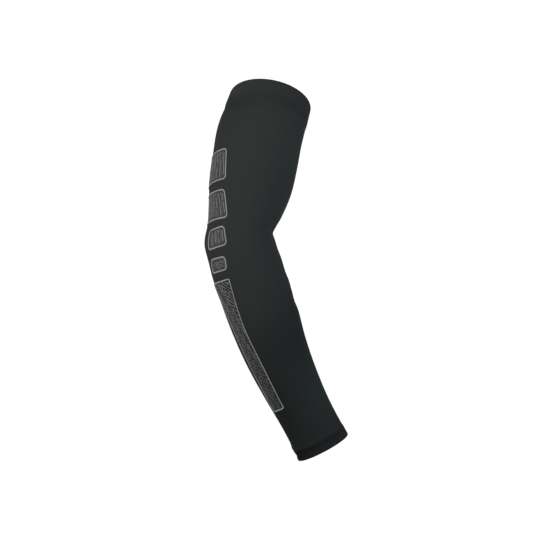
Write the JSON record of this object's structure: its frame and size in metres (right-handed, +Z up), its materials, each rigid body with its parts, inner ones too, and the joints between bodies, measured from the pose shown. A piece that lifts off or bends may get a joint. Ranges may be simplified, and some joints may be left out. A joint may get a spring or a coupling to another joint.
{
  "type": "arm compression sleeve",
  "caption": "Long black knitted arm sleeve in its worn shape, slightly bent at the elbow, with doubled hems, raised printed panels down the back and open ends.",
  "frame": {"origin": "centre of the upper opening, where the arm goes in and the sleeve grips it", "axes": "+Z up towards the shoulder, +X to the front of the arm, on the side of the elbow's crook, -Y to its outer side"},
  "size_m": [0.1513, 0.1036, 0.4015],
  "materials": {
    "knit": "fine smooth matte knit with a faint sheen",
    "hem": "doubled fine knit, matte",
    "print": "grey raised print, matte, fine lines inside a rounded outline"
  },
  "bodies": {
    "root": {"sleeve_tube": "knit", "upper_hem": "hem", "wrist_hem": "hem", "print_block_1": "print", "print_block_2": "print", "print_block_3": "print", "print_block_4": "print", "print_bar": "print"}
  },
  "joints": []
}
